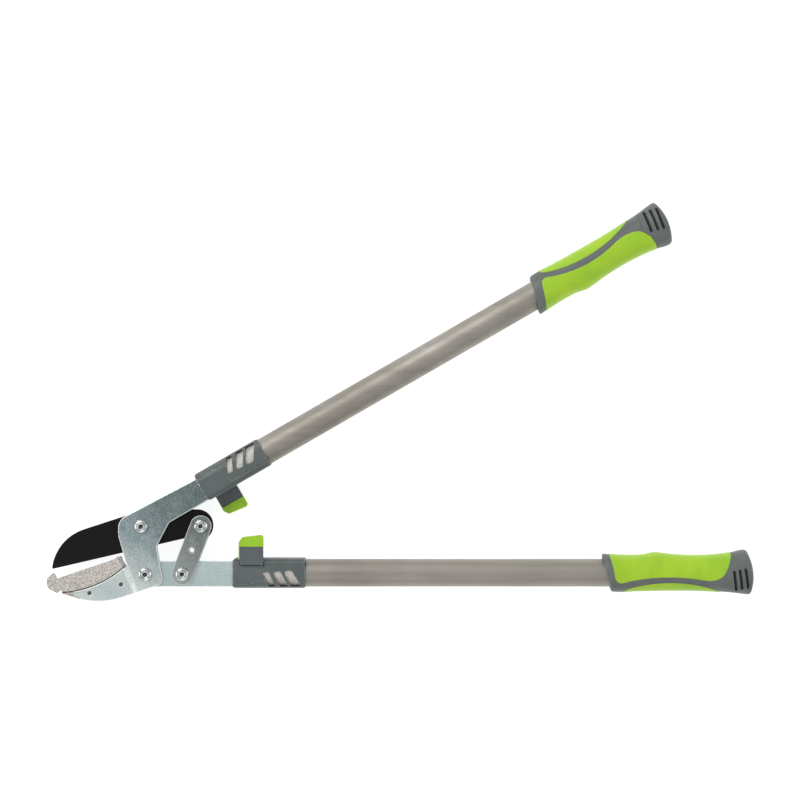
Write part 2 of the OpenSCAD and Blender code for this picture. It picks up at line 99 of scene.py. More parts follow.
HANDLE = {side: handle_matrix(side) for side in SIDES}


def along_handle(side, node):
    """Where a CAD node starts and ends along its handle, from the collar's mouth, in millimetres."""
    x = HANDLE[side].to_3x3() @ Vector((1, 0, 0))
    base = HANDLE[side].translation.dot(x)
    return [(s - base) / MM for s in node_span(node, x)]


# ---------------------------------------------------------------- material helpers

class Nodes:
    """A material's node tree, with short calls for the nodes that the materials here share."""

    def __init__(self, name):
        self.mat = bpy.data.materials.new(name)
        self.mat.use_nodes = True
        self.tree = self.mat.node_tree
        self.shader = self.tree.nodes["Principled BSDF"]
        self.place = self.tree.nodes.new("ShaderNodeTexCoord").outputs["Object"]

    def new(self, kind, **settings):
        node = self.tree.nodes.new(kind)
        for key, value in settings.items():
            setattr(node, key, value)
        return node

    def link(self, a, b):
        self.tree.links.new(a, b)

    def stretch(self, scale, turn=0.0):
        """Object coordinates, turned about Z and scaled differently along each axis."""
        node = self.new("ShaderNodeMapping", vector_type="TEXTURE")
        node.inputs["Rotation"].default_value = (0, 0, turn)
        node.inputs["Scale"].default_value = scale
        self.link(self.place, node.inputs["Vector"])
        return node.outputs["Vector"]

    def along(self, direction):
        """Distance along a direction from the frame's origin, in metres."""
        node = self.new("ShaderNodeVectorMath", operation="DOT_PRODUCT")
        node.inputs[1].default_value = direction
        self.link(self.place, node.inputs[0])
        return node.outputs["Value"]

    def from_line(self, x, y):
        """Distance from an upright line, in metres."""
        flat = self.new("ShaderNodeVectorMath", operation="MULTIPLY")
        flat.inputs[1].default_value = (1, 1, 0)
        self.link(self.place, flat.inputs[0])
        reach = self.new("ShaderNodeVectorMath", operation="DISTANCE")
        reach.inputs[1].default_value = (x, y, 0)
        self.link(flat.outputs["Vector"], reach.inputs[0])
        return reach.outputs["Value"]

    def noise(self, scale, detail, rough, place=None):
        node = self.new("ShaderNodeTexNoise")
        node.inputs["Scale"].default_value = scale
        node.inputs["Detail"].default_value = detail
        node.inputs["Roughness"].default_value = rough
        self.link(place or self.place, node.inputs["Vector"])
        return node.outputs["Fac"]

    def cells(self, scale):
        """Distance to the nearest of many scattered points."""
        node = self.new("ShaderNodeTexVoronoi")
        node.inputs["Scale"].default_value = scale
        self.link(self.place, node.inputs["Vector"])
        return node.outputs["Distance"]

    def ramp(self, value, stops):
        """A colour ramp from (place, colour) stops."""
        node = self.new("ShaderNodeValToRGB")
        ramp = node.color_ramp
        ramp.elements[0].position, ramp.elements[0].color = stops[0][0], (*stops[0][1], 1)
        ramp.elements[1].position, ramp.elements[1].color = stops[-1][0], (*stops[-1][1], 1)
        for at, colour in stops[1:-1]:
            ramp.elements.new(at).color = (*colour, 1)
        self.link(value, node.inputs["Fac"])
        return node.outputs["Color"]

    def fit(self, value, low, high, to_low, to_high):
        """Maps a range of values to another, held at its ends."""
        node = self.new("ShaderNodeMapRange")
        for key, number in zip(("From Min", "From Max", "To Min", "To Max"), (low, high, to_low, to_high)):
            node.inputs[key].default_value = number
        self.link(value, node.inputs["Value"])
        return node.outputs["Result"]

    def mix(self, fac, a, b, blend="MIX"):
        node = self.new("ShaderNodeMix", data_type="RGBA", blend_type=blend)
        for key, value in (("Factor", fac), ("A", a), ("B", b)):
            socket = next(s for s in node.inputs if s.name == key and s.enabled)
            if isinstance(value, bpy.types.NodeSocket):
                self.link(value, socket)
            elif key == "Factor":
                socket.default_value = value
            else:
                socket.default_value = (*value, 1)
        return next(s for s in node.outputs if s.enabled)

    def math(self, operation, a, b):
        node = self.new("ShaderNodeMath", operation=operation)
        for socket, value in zip(node.inputs, (a, b)):
            if isinstance(value, bpy.types.NodeSocket):
                self.link(value, socket)
            else:
                socket.default_value = value
        return node.outputs[0]

    def bump(self, height, depth_mm, strength):
        node = self.new("ShaderNodeBump")
        node.inputs["Strength"].default_value = strength
        node.inputs["Distance"].default_value = depth_mm * MM
        self.link(height, node.inputs["Height"])
        self.link(node.outputs["Normal"], self.shader.inputs["Normal"])

    def done(self, **constants):
        """Sets what is the same all over the surface, and links what isn't."""
        for key, value in constants.items():
            socket = self.shader.inputs[key.replace("_", " ")]
            if isinstance(value, bpy.types.NodeSocket):
                self.link(value, socket)
            elif isinstance(value, tuple):
                socket.default_value = (*value, 1)
            else:
                socket.default_value = value
        return self.mat


def linear(r, g, b):
    """A colour given as 0 to 255 display values, in the renderer's linear units (the sRGB curve)."""
    return tuple(c / 255 / 12.92 if c <= 10 else ((c / 255 + 0.055) / 1.055) ** 2.4 for c in (r, g, b))


def shaded(colour, share):
    """A colour made darker or lighter by a share."""
    return tuple(c * share for c in colour)


# ---------------------------------------------------------------- materials

# The way from the grips' side to the jaws, along which the sheets' tone changes: a painted reflection, darker
# at the arm and lighter towards the jaws, with some real plating tone
TO_JAWS = (-0.6, -0.8, 0)


def zinc_material(name, stops, rough, contrast):
    """Zinc-plated sheet, with soft blotches, a fine spangle and scuffs. Its tone changes over the tool: a
    painted reflection, darker at the arm and lighter towards the jaws, partly real plating tone.

    stops are (distance from the frame's origin towards the jaws in millimetres, colour).
    """
    n = Nodes(name)
    first, last = stops[0][0] * MM, stops[-1][0] * MM
    share = n.fit(n.along(TO_JAWS), first, last, 0, 1)
    base = n.ramp(share, [((at * MM - first) / (last - first), colour) for at, colour in stops])
    blotch = n.noise(60, 3, 0.6)
    fleck = n.noise(760, 3, 0.75)
    grain = n.noise(260, 4, 0.65, n.stretch((1, 4, 1), math.radians(8)))
    tone = n.math("ADD", n.math("MULTIPLY", blotch, 0.22), n.math("MULTIPLY", fleck, 0.58))
    tone = n.math("ADD", tone, n.math("MULTIPLY", grain, 0.2))
    swing = n.math("MULTIPLY", n.fit(tone, 0.38, 0.62, -contrast, contrast), n.fit(share, 0.35, 0.8, 1, 0.2))
    colour = n.mix(1.0, base, n.math("ADD", swing, 1.0), "MULTIPLY")
    scuff = n.fit(n.noise(70, 5, 0.75, n.stretch((1, 16, 1), math.radians(-25))), 0.62, 0.74, 0, 0.5)
    colour = n.mix(scuff, colour, linear(226, 232, 231))
    n.bump(n.math("ADD", fleck, n.math("MULTIPLY", grain, 0.5)), 0.05, 0.5)
    rough = n.fit(tone, 0.35, 0.65, rough + 0.08, rough - 0.06)
    return n.done(Base_Color=colour, Metallic=0.9, Roughness=rough)


def edge_highlight_material(name, colour):
    """Cut edge of a sheet, painted far brighter than the sheet: a painted highlight along the rounded rims.
    """
    n = Nodes(name)
    grain = n.noise(700, 3, 0.6)
    n.bump(grain, 0.03, 0.4)
    shade = n.mix(n.fit(grain, 0.35, 0.65, 0, 1), shaded(colour, 0.82), colour)
    return n.done(Base_Color=shade, Metallic=0.4, Roughness=n.fit(grain, 0.3, 0.7, 0.29, 0.44))


# Along X from its pivot, in millimetres, where the blade's coating turns blacker towards its tail
TAIL_DARKENS = (-4, 46)


def coated_blade_material():
    """Black non-stick coating with a faint pebble and rubbed, greyer patches, blackest at its tail."""
    n = Nodes("black_blade_coating")
    pebble = n.noise(900, 3, 0.6)
    rub = n.fit(n.noise(30, 4, 0.6, n.stretch((3, 1, 1), math.radians(14))), 0.45, 0.75, 0, 1)
    colour = n.mix(rub, linear(17, 15, 14), linear(30, 27, 25))
    pivot_x = JOINTS["blade_hinge"]["pos_m"][0]
    start, end = (pivot_x + at * MM for at in TAIL_DARKENS)
    tail = n.fit(n.along((1, 0, 0)), start, end, 0, 0.85)
    colour = n.mix(tail, colour, linear(3, 3, 3))
    n.bump(pebble, 0.03, 0.5)
    rough = n.math("ADD", n.fit(rub, 0, 1, 0.42, 0.34), n.math("MULTIPLY", pebble, 0.06))
    return n.done(Base_Color=colour, Roughness=rough, Specular_IOR_Level=0.16)


# The cheeks' hollow edge, along which a shadow line is painted on the casting: its ends from the arm hinge
# and how far it bows, in millimetres
CHEEK_ENDS = (Vector((-17.6, 8.8)), Vector((-70.6, -16.6)))
CHEEK_BOW = 4.6


def cheek_arc():
    """Centre in the frame and radius, in metres, of the arc through the cheeks' hollow edge."""
    start, end = CHEEK_ENDS
    chord = end - start
    radius = ((chord.length / 2) ** 2 + CHEEK_BOW ** 2) / (2 * CHEEK_BOW)
    inward = Vector((chord.y, -chord.x)).normalized()
    centre = (start + end) / 2 + inward * (radius - CHEEK_BOW)
    return Vector(JOINTS["arm_hinge"]["pos_m"][:2]) + centre * MM, radius * MM


def cast_anvil_material():
    """Sand-textured light casting, with darker pits, a slightly warm mottle and a painted shadow line along
    the cheeks' edge.
    """
    n = Nodes("cast_anvil_metal")
    sand = n.noise(1000, 4, 0.75)
    mottle = n.noise(480, 4, 0.75)
    pits = n.fit(n.noise(420, 3, 0.6), 0.3, 0.42, 1, 0)
    tone = n.math("ADD", n.math("MULTIPLY", mottle, 0.6), n.math("MULTIPLY", sand, 0.4))
    stops = [(0.37, linear(140, 132, 126)), (0.5, linear(197, 190, 185)), (0.62, linear(238, 233, 230))]
    colour = n.ramp(tone, stops)
    colour = n.mix(n.math("MULTIPLY", pits, 0.5), colour, linear(108, 100, 92))
    # Painted shadow: a dark line on the casting just inside the cheeks' hollow edge
    centre, radius = cheek_arc()
    past_edge = n.math("SUBTRACT", radius, n.from_line(*centre))
    rises = n.fit(past_edge, -0.6 * MM, 0.1 * MM, 0, 1)
    falls = n.fit(past_edge, 0.7 * MM, 1.2 * MM, 1, 0)
    painted_shadow_line = n.math("MULTIPLY", rises, falls)
    colour = n.mix(painted_shadow_line, colour, linear(34, 38, 36))
    height = n.math("SUBTRACT", n.math("ADD", sand, mottle), n.math("MULTIPLY", pits, 0.8))
    n.bump(height, 0.22, 0.8)
    return n.done(Base_Color=colour, Metallic=0.35, Roughness=n.fit(mottle, 0.3, 0.7, 0.62, 0.45))


def bolt_material():
    """Polished plated steel with fine turning marks and light scratches."""
    n = Nodes("bolt_plated_steel")
    scratch = n.noise(420, 5, 0.7, n.stretch((1, 9, 1), 0.6))
    stain = n.noise(260, 3, 0.6)
    colour = n.mix(n.fit(stain, 0.4, 0.7, 0, 1), linear(224, 229, 228), linear(186, 193, 192))
    n.bump(scratch, 0.02, 0.1)
    return n.done(Base_Color=colour, Metallic=1.0, Roughness=n.fit(scratch, 0.35, 0.7, 0.17, 0.28))


def socket_shade_material():
    """Dull dark steel: painted shade inside the bolts' sockets and grooves, and on the anvil's rivets."""
    n = Nodes("bolt_socket_painted_shade")
    shade_noise = n.noise(500, 4, 0.7)
    colour = n.mix(shade_noise, linear(52, 52, 50), linear(120, 120, 118))
    n.bump(shade_noise, 0.05, 0.6)
    return n.done(Base_Color=colour, Metallic=0.7, Roughness=0.5)


def tube_material(name, dark, light, rough, window_lit=None):
    """Satin tube: fine draw lines along it, and the faint unevenness of its finish.

    window_lit is a handle whose tube is painted paler and less metallic inside its collar: painted light on
    the tube seen through the collar's deep windows.
    """
    n = Nodes(name)
    lines = n.noise(90, 5, 0.7, n.stretch((30, 1, 1)))
    cloud = n.noise(14, 3, 0.5)
    fine = n.noise(900, 2, 0.5)
    tone = n.math("ADD", n.math("MULTIPLY", lines, 0.55), n.math("MULTIPLY", cloud, 0.45))
    colour = n.ramp(tone, [(0.35, dark), (0.65, light)])
    metallic = 1.0
    if window_lit:
        axis = Vector(JOINTS[window_lit + "_slide"]["axis"]).normalized()
        end = node_span(window_lit + "_collar", axis)[1]
        # Painted light: the tube inside the collar is made pale and less metallic so that it reads lit
        # through the windows
        inside = n.fit(n.along(axis), end - 2 * MM, end - 1 * MM, 1, 0)
        window_light = n.ramp(n.noise(400, 4, 0.7), [(0.35, linear(184, 178, 170)), (0.65, linear(212, 207, 200))])
        colour = n.mix(inside, colour, window_light)
        metallic = n.fit(inside, 0, 1, 1.0, 0.25)
    n.bump(n.math("ADD", lines, n.math("MULTIPLY", fine, 0.35)), 0.025, 0.5)
    rough = n.fit(tone, 0.35, 0.65, rough + 0.05, rough - 0.04)
    return n.done(Base_Color=colour, Metallic=metallic, Roughness=rough)


def plastic_material(name, colour, rough=0.5, grain_mm=0.5):
    """Moulded plastic with a spark-eroded grain, slight flow marks and paler rubbed spots."""
    n = Nodes(name)
    grain = n.cells(1 / (grain_mm * MM))
    flow = n.noise(35, 4, 0.6)
    rub = n.fit(n.noise(90, 5, 0.7), 0.58, 0.74, 0, 0.35)
    shade = n.mix(n.fit(flow, 0.3, 0.7, 0, 1), shaded(colour, 0.86), shaded(colour, 1.12))
    shade = n.mix(rub, shade, tuple(min(1, c * 1.5 + 0.02) for c in colour))
    n.bump(grain, 0.06, 0.45)
    return n.done(Base_Color=shade, Roughness=n.fit(flow, 0.3, 0.7, rough + 0.06, rough - 0.05),
                  Specular_IOR_Level=0.42)


def soft_green_material():
    """Soft-touch lime rubber: velvety, finely stippled, a little dirtier in places."""
    n = Nodes("grip_green_rubber")
    stipple = n.cells(1500)
    cloud = n.noise(28, 4, 0.6)
    smudge = n.fit(n.noise(70, 5, 0.7), 0.55, 0.8, 0, 0.4)
    base, deep = linear(174, 214, 44), linear(150, 200, 44)
    shade = n.mix(n.fit(cloud, 0.35, 0.7, 0, 1), base, deep)
    shade = n.mix(smudge, shade, linear(132, 184, 44))
    n.bump(stipple, 0.05, 0.4)
    return n.done(Base_Color=shade, Roughness=n.fit(cloud, 0.3, 0.7, 0.5, 0.42), Specular_IOR_Level=0.35,
                  Sheen_Weight=0.12, Sheen_Roughness=0.5)


def dark_gap_material():
    """Shadowed plastic at the bottom of slots."""
    n = Nodes("slot_shadow_plastic")
    grain = n.noise(600, 3, 0.6)
    n.bump(grain, 0.05, 0.4)
    return n.done(Base_Color=n.mix(grain, linear(22, 24, 25), linear(44, 47, 49)), Roughness=0.7)


GREY = linear(91, 99, 99)
# Tones along the way to the jaws, for the sheets, the bar and the links: painted reflection, with some real
# plating tone
PLATE_TONES = ((204, linear(126, 140, 142)), (254, linear(158, 174, 177)), (287, linear(218, 227, 224)),
               (310, linear(202, 217, 217)), (328, linear(222, 233, 227)))
BAR_TONES = ((204, linear(214, 228, 229)), (262, linear(190, 208, 209)), (300, linear(200, 214, 214)))
LINK_TONES = ((204, linear(126, 134, 134)), (235, linear(144, 152, 150)), (262, linear(174, 182, 178)))
ZINC = zinc_material("zinc_plate_steel", PLATE_TONES, 0.4, 0.56)
BAR = zinc_material("zinc_bar_steel", BAR_TONES, 0.36, 0.16)
LINK = zinc_material("link_zinc_steel", LINK_TONES, 0.38, 0.5)
# The bevelled rims of the sheets, the bar and the links: painted highlight
RIM_HIGHLIGHT = edge_highlight_material("sheet_edge_painted_highlight", linear(240, 245, 245))
LINK_RIM_HIGHLIGHT = edge_highlight_material("link_edge_painted_highlight", linear(222, 227, 222))
BLADE = coated_blade_material()
ANVIL = cast_anvil_material()
BOLT = bolt_material()
SOCKET_SHADE = socket_shade_material()
OUTER_TONES = (linear(156, 151, 143), linear(178, 173, 165))
INNER_TONES = (linear(190, 190, 186), linear(216, 216, 212))
OUTER = {side: tube_material(side + "_tube_satin", *OUTER_TONES, 0.58, side) for side in SIDES}
INNER = tube_material("inner_tube_satin", *INNER_TONES, 0.26)
PLASTIC = plastic_material("collar_grey_plastic", GREY, 0.43)
# The collars' bevelled edges: painted highlight, the grey plastic made 2.3 times lighter
COLLAR_EDGE_HIGHLIGHT = plastic_material("collar_edge_painted_highlight", shaded(GREY, 2.3), 0.42)
LEVER = plastic_material("lever_grey_plastic", linear(90, 97, 100))
GRIP = plastic_material("grip_grey_plastic", linear(102, 108, 105), 0.48, 0.6)
CAP = plastic_material("cap_green_plastic", linear(158, 204, 42), 0.36)
GREEN = soft_green_material()
GAP = dark_gap_material()


# ---------------------------------------------------------------- mesh helpers

def finish_piece(obj, body, replaced):
    """Seats a new piece on its body, and hides the CAD node it stands for."""
    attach(obj, body)
    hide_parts(replaced)


def mesh_object(name, bm, materials, matrix=Matrix.Identity(4), smooth=True):
    """An object from a bmesh in millimetres, placed by a matrix in metres."""
    bmesh.ops.recalc_face_normals(bm, faces=bm.faces)
    mesh = bpy.data.meshes.new(name)
    bm.to_mesh(mesh)
    bm.free()
    mesh.transform(matrix @ Matrix.Scale(MM, 4))
    for m in materials:
        mesh.materials.append(m)
    mesh.polygons.foreach_set("use_smooth", [smooth] * len(mesh.polygons))
    obj = bpy.data.objects.new(name, mesh)
    bpy.context.scene.collection.objects.link(obj)
    return obj


def skin_rings(bm, rings, closed_ring=True):
    """Quads between rings of the same number of points. Returns the rings' vertices."""
    rows = [[bm.verts.new(p) for p in ring] for ring in rings]
    count = len(rows[0])
    for a, b in zip(rows, rows[1:]):
        for k in range(count if closed_ring else count - 1):
            j = (k + 1) % count
            bm.faces.new((a[k], a[j], b[j], b[k]))
    return rows


# Closer points are one point, flatter faces are one face, and sharper edges are rounded
SAME_POINT = 0.002 * MM
FLAT_ANGLE = math.radians(0.6)
ROUNDED_ANGLE = math.radians(32)


def dress(node, materials, bevel_mm, clamp=False):
    """Keeps a CAD node, with rounded edges and its finish. Its rims take the last material.

    clamp keeps the rounding from folding over itself where a node has very small steps.
    """
    obj = frame["nodes"][node]
    obj.data.materials.clear()
    for m in materials:
        obj.data.materials.append(m)
    weld = obj.modifiers.new("weld", "WELD")
    weld.merge_threshold = SAME_POINT
    flat = obj.modifiers.new("flat", "DECIMATE")
    flat.decimate_type = "DISSOLVE"
    flat.angle_limit = FLAT_ANGLE
    bevel = obj.modifiers.new("edges", "BEVEL")
    bevel.width = bevel_mm * MM
    bevel.segments = 3
    bevel.use_clamp_overlap = clamp
    bevel.limit_method = "ANGLE"
    bevel.angle_limit = ROUNDED_ANGLE
    bevel.harden_normals = False
    bevel.miter_outer = "MITER_ARC"
    if len(materials) > 1:
        bevel.material = len(materials) - 1
    obj.data.polygons.foreach_set("use_smooth", [True] * len(obj.data.polygons))
    normals = obj.modifiers.new("normals", "WEIGHTED_NORMAL")
    normals.keep_sharp = True


# ---------------------------------------------------------------- head

for face in ("front", "rear"):
    dress(face + "_plate", (ZINC, RIM_HIGHLIGHT), 0.75)
    dress(face + "_link", (LINK, LINK_RIM_HIGHLIGHT), 0.6)
dress("lower_bar", (BAR, RIM_HIGHLIGHT), 0.6)
dress("blade", (BLADE,), 0.4)
dress("anvil", (ANVIL,), 0.35, clamp=True)
# The rivets take the dark socket material: painted shade for their dimples
dress("anvil_rivets", (SOCKET_SHADE,), 0.3)


# ---------------------------------------------------------------- the handles' kept CAD nodes

for side in SIDES:
    # Collar edges take the painted-highlight material
    dress(side + "_collar", (PLASTIC, COLLAR_EDGE_HIGHLIGHT), 0.3)
    dress(side + "_lock_lever", (LEVER,), 0.5)
    dress(side + "_lever_cap", (CAP,), 0.6, clamp=True)
    dress(side + "_lever_pin", (BOLT,), 0.2)
    dress(side + "_inner_tube", (INNER,), 0.3)
    dress(side + "_outer_tube", (OUTER[side],), 0.3)
    dress(side + "_guide_plug", (PLASTIC,), 0.3)
    dress(side + "_tang_packers", (PLASTIC,), 0.3)
    dress(side + "_tube_rivets", (BOLT,), 0.2)
dress("upper_tang_spacer", (PLASTIC,), 0.3)


# ---------------------------------------------------------------- bolts and nuts

# In millimetres. Radii of the head's flat top, the socket's flats, the shank, the thread, and a last ring
# so small that it closes a profile on its axis
FLAT_R = 4.15
SOCKET_R = 1.8
SHANK_R = 4.0
THREAD_R = 3.0
AXIS_R = 0.02
HEAD_HEIGHT = 3.4
HEAD_RIM = 0.7
DOME_STEPS = 8
THREAD_LENGTH = 7.0
THREAD_TURNS = 9
THREAD_DEPTH = 0.28
BOLT_SIDES = 72


def lathe_z(bm, profile, centre, shape=None):
    """Skins a profile of (radius, height) about a vertical axis. shape bends a radius to an outline."""
    rings = []
    for index, (r, z) in enumerate(profile):
        ring = []
        for k in range(BOLT_SIDES):
            t = 2 * math.pi * k / BOLT_SIDES
            reach = shape(index, r, t) if shape else r
            ring.append(Vector((centre.x + reach * math.cos(t), centre.y + reach * math.sin(t), z)))
        rings.append(ring)
    return skin_rings(bm, rings)


def hexagon(r, t):
    """Distance to a hexagon's side, r from its middle to its flats."""
    return r / math.cos((t + math.pi / 6) % (math.pi / 3) - math.pi / 6)


def head_profile(head_r, seat, top):
    """The head from its seat: low rim, dome, ring groove and flat disc, down to the socket's mouth."""
    profile = [(head_r * 0.97, seat), (head_r, seat + 0.25), (head_r, seat + HEAD_RIM)]
    for k in range(1, DOME_STEPS + 1):
        t = math.pi / 2 * k / DOME_STEPS
        rise = (HEAD_HEIGHT - HEAD_RIM) * math.sin(t)
        profile.append((FLAT_R + (head_r - FLAT_R) * math.cos(t), seat + HEAD_RIM + rise))
    groove = [(FLAT_R - 0.08, top - 0.3), (FLAT_R - 0.22, top - 0.4), (FLAT_R - 0.38, top - 0.28)]
    disc = [(FLAT_R - 0.55, top - 0.08), (FLAT_R - 0.75, top - 0.02), (2.5, top - 0.04), (2.2, top - 0.16)]
    return profile + groove + disc


def socket_profile(top):
    """The socket's wall and its floor."""
    return [(SOCKET_R + 0.05, top - 0.5), (SOCKET_R, top - 2.4), (0.8, top - 2.7), (AXIS_R, top - 2.75)]


def shank_profile(head_r, seat, bottom):
    """The plain shank under the head, then the thread's ridges and the chamfered end."""
    thread_top = bottom + THREAD_LENGTH
    profile = [(head_r * 0.97, seat), (SHANK_R, seat - 0.02)]
    profile += [(SHANK_R, thread_top + 0.2), (THREAD_R, thread_top)]
    pitch = (THREAD_LENGTH - 0.8) / THREAD_TURNS
    for k in range(THREAD_TURNS):
        z = thread_top - (k + 0.5) * pitch
        profile += [(THREAD_R, z + 0.18), (THREAD_R - THREAD_DEPTH, z), (THREAD_R, z - 0.18)]
    return profile + [(THREAD_R, bottom + 0.5), (THREAD_R - 0.5, bottom), (AXIS_R, bottom)]


def bolt_piece(node, body):
    """Domed bolt head with one thin ring groove and a small hexagon socket, on its shank."""
    low, high = (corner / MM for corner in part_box(node))
    centre = (low + high) / 2
    head_r = (high.x - low.x) / 2
    top = high.z
    seat = top - HEAD_HEIGHT
    head = head_profile(head_r, seat, top)
    socket_from = len(head)

    def shape(index, r, t):
        return hexagon(r, t) if index >= socket_from and r > 1 else r

    bm = bmesh.new()
    rows = lathe_z(bm, head + socket_profile(top), centre, shape)
    bm.faces.new(rows[-1])
    rows = lathe_z(bm, shank_profile(head_r, seat, low.z), centre)
    bm.faces.new(rows[-1])
    bmesh.ops.remove_doubles(bm, verts=bm.verts, dist=0.001)
    # Faces in the socket and the ring groove take the dark socket material: painted shade in these recesses
    for f in bm.faces:
        c = f.calc_center_median()
        r = (c - centre).xy.length
        in_socket = r < SOCKET_R + 0.3
        in_groove = FLAT_R - 0.42 < r < FLAT_R - 0.1
        if c.z > top - 3 and (in_socket or in_groove):
            f.material_index = 1
    obj = mesh_object(node + "_piece", bm, (BOLT, SOCKET_SHADE))
    finish_piece(obj, body, node)


for node in ("blade_pivot_bolt", "arm_pivot_bolt"):
    bolt_piece(node, "head")
for node in ("link_top_bolt", "link_low_bolt"):
    bolt_piece(node, "links")
for node in ("head_lock_nuts", "link_lock_nuts"):
    dress(node, (BOLT,), 0.35)


# ---------------------------------------------------------------- grips

GRIP_LEN = 140
# Distance from the mouth, then reach towards the other handle, away from it, and to each side
GRIP_STATIONS = (
    (-8, 18.5, 17.8, 16.4), (0, 18.2, 17.9, 16.7), (12, 17.0, 18.2, 17.0), (24, 16.6, 17.4, 16.8),
    (35, 17.1, 17.0, 16.7), (45, 19.1, 16.8, 16.6), (54, 18.5, 16.7, 16.5), (66, 17.2, 16.6, 16.4),
    (85, 16.4, 16.7, 16.3), (104, 17.3, 17.6, 16.8), (119, 19.3, 18.6, 17.8), (130, 21.4, 19.8, 18.5),
    (142, 22.3, 20.9, 18.5),
)
SQUARENESS = 0.9


def grip_stretch(longer):
    """Lengthens a grip by a share of its length, from its far end."""
    grow = Matrix.Diagonal((longer, 1, 1, 1))
    return Matrix.Translation((GRIP_LEN, 0, 0)) @ grow @ Matrix.Translation((-GRIP_LEN, 0, 0))


# The moulding on the upper handle is a little longer
GRIP_STRETCH = {"lower": grip_stretch(1.0), "upper": grip_stretch(1.042)}

# How far along the grip its slanted mouth and its slanted end are felt, and the mouth's slant
MOUTH_REACH = 26
MOUTH_SHIFT = 0.65
MOUTH_SLANT = 4.25
END_FROM = 108
END_REACH = 29
# The end's highest point is this far from the middle line, and it falls off from there to both ways
END_TOP_Y = -3.6
END_FALL_Y = 0.011
END_FALL_Z = 0.006


def smooth_at(stations, x, column):
    """A smooth curve through the stations (cubic, with each station's slope from its neighbours)."""
    i = max(k for k in range(len(stations) - 1) if stations[k][0] <= x or k == 0)
    pts = [stations[max(0, min(len(stations) - 1, i + d))] for d in (-1, 0, 1, 2)]
    x0, x1 = pts[1][0], pts[2][0]
    t = (x - x0) / (x1 - x0)

    def slope(a, b):
        return (b[column] - a[column]) / (b[0] - a[0])

    m0 = slope(pts[0], pts[2]) * (x1 - x0)
    m1 = slope(pts[1], pts[3]) * (x1 - x0)
    p0, p1 = pts[1][column], pts[2][column]
    return ((2 * t ** 3 - 3 * t ** 2 + 1) * p0 + (t ** 3 - 2 * t ** 2 + t) * m0
            + (-2 * t ** 3 + 3 * t ** 2) * p1 + (t ** 3 - t ** 2) * m1)


def swell(value):
    """Signed power, for a cross-section between an ellipse and a rounded square."""
    return math.copysign(abs(value) ** SQUARENESS, value)


def end_plane(y, z):
    """The grip's slightly domed and slanted end."""
    return GRIP_LEN - END_FALL_Y * (y - END_TOP_Y) ** 2 - END_FALL_Z * z * z


def grip_point(x, t, lift=0.0):
    """A point of the grip's surface, at angle t from the side towards the other handle.

    Its rings slant with the mouth near x = 0, and turn to follow the slanted end near the far end.
    """
    inner, outer, side = (smooth_at(GRIP_STATIONS, x, c) for c in (1, 2, 3))
    c, s = swell(math.cos(t)), swell(math.sin(t))
    y = c * ((inner if c > 0 else outer) + lift)
    z = s * (side + lift)
    mouth = max(0.0, 1 - max(x, 0) / MOUTH_REACH) ** 1.5
    end = max(0.0, min(1.0, (x - END_FROM) / END_REACH)) ** 2
    slant = mouth * (MOUTH_SHIFT - MOUTH_SLANT * math.cos(t))
    return Vector((x + slant - end * (GRIP_LEN - end_plane(y, z)), y, z))


# The slanted slots in the flared end: x and y of each end, and how deep it is as a share of SLOT_DEPTH
SLOTS = {
    "lower": ((120.4, 1.4, 122.8, -15.2, 1.0), (125.8, 2.5, 128.2, -14.2, 1.0),
              (131.2, 3.8, 133.8, -13.0, 1.0)),
    "upper": ((116.0, -1.2, 118.1, -15.2, 0.25), (120.8, 2.6, 123.5, -15.6, 1.0),
              (126.9, 4.2, 129.4, -14.6, 1.0), (132.0, 5.4, 135.1, -13.4, 1.0)),
}
SLOT_HALF = 1.0
SLOT_WALL = 0.4
SLOT_DEPTH = 2.0
SLOT_SHADE_FROM = 0.7 * SLOT_DEPTH
# Slots are looked for past this x, and on the two faces this far above and below the middle
SLOTS_FROM = 112
FACE_FROM = 6
# A low ridge round each slot: its height, the distance of its crest from the wall, and half its width
RIDGE_HEIGHT = 0.22
RIDGE_CREST = 0.35
RIDGE_HALF = 0.45


def slot_dig(side, p):
    """How far a point of the grip's surface is sunk by a slot, or raised (below nought) by its ridge."""
    if abs(p.z) < FACE_FROM or p.x < SLOTS_FROM:
        return 0.0
    dig = 0.0
    for x0, y0, x1, y1, share in SLOTS[side]:
        a, b = Vector((x0, y0)), Vector((x1, y1))
        q = Vector((p.x, p.y))
        t = max(0.0, min(1.0, (q - a).dot(b - a) / (b - a).length_squared))
        gap = (q - (a + (b - a) * t)).length
        beyond = gap - SLOT_HALF - SLOT_WALL
        if beyond < 0:
            return share * SLOT_DEPTH * min(1.0, -beyond / SLOT_WALL)
        dig = min(dig, -RIDGE_HEIGHT * max(0.0, 1 - abs(beyond - RIDGE_CREST) / RIDGE_HALF))
    return dig


# The moulding's rings: points round it, the bore it starts from, and its rounded mouth and far corner
RING_ANGLES = [2 * math.pi * k / 200 for k in range(200)]
BORE_R = 13.25
BORE_DEPTH = 6
LIP_R = 1.7
CORNER_R = 1.5
ROUND_STEPS = 6


def outward(p):
    """The way out from the grip's middle line at a point."""
    return Vector((0, p.y, p.z)).normalized()


